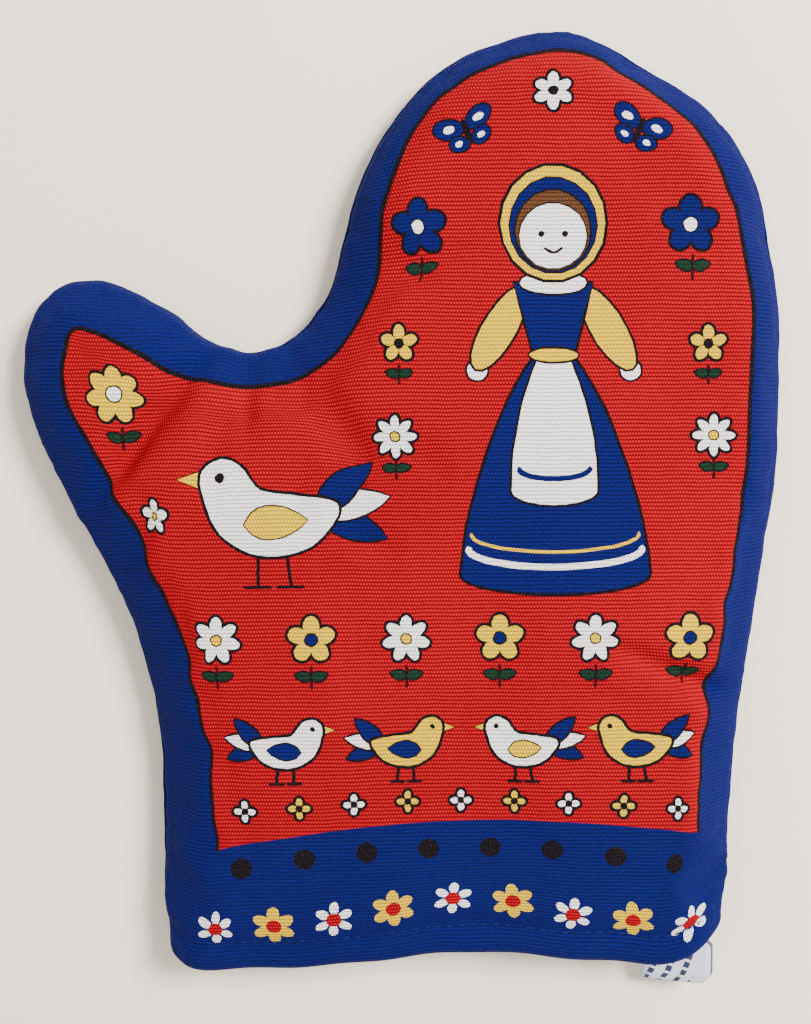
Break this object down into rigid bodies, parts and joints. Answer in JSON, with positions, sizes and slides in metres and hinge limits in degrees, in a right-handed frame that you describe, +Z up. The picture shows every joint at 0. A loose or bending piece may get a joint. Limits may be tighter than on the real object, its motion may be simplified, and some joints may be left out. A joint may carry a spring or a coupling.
{
  "type": "oven mitt",
  "caption": "Padded one-thumb oven mitt, lying flat: printed canvas front, plain canvas back, wadding, cotton lining, open cuff with a topstitched hem and a folded ribbon label that flips on its seam.",
  "frame": {"origin": "middle of the box around the mitt and its label, on the face that it rests on", "axes": "+X to the right with the thumb towards -X, +Y from the cuff to the fingertips, +Z up out of the printed front"},
  "size_m": [0.2159, 0.2754, 0.022],
  "materials": {
    "printed_canvas": "matte ribbed cotton canvas, printed",
    "plain_canvas": "matte ribbed cotton canvas, dyed blue",
    "wadding": "soft white wadding",
    "lining_cotton": "matte unbleached plain-weave cotton",
    "thread": "twisted cotton-polyester sewing thread",
    "label_ribbon": "satin ribbon"
  },
  "bodies": {
    "mitt": {"front_shell": "printed_canvas", "back_shell": "plain_canvas", "front_batting": "wadding", "back_batting": "wadding", "front_lining": "lining_cotton", "back_lining": "lining_cotton", "side_seam_stitching": "thread", "cuff_hem_stitching": "thread", "label_stitching": "thread"},
    "label": {"care_label": "label_ribbon"}
  },
  "joints": [
    {"name": "label_flip", "type": "hinge", "parent": "mitt", "child": "label", "pos_m": [0.0843, -0.1272, 0.011], "axis": [0, 1, 0], "range_deg": [0, 22]}
  ]
}
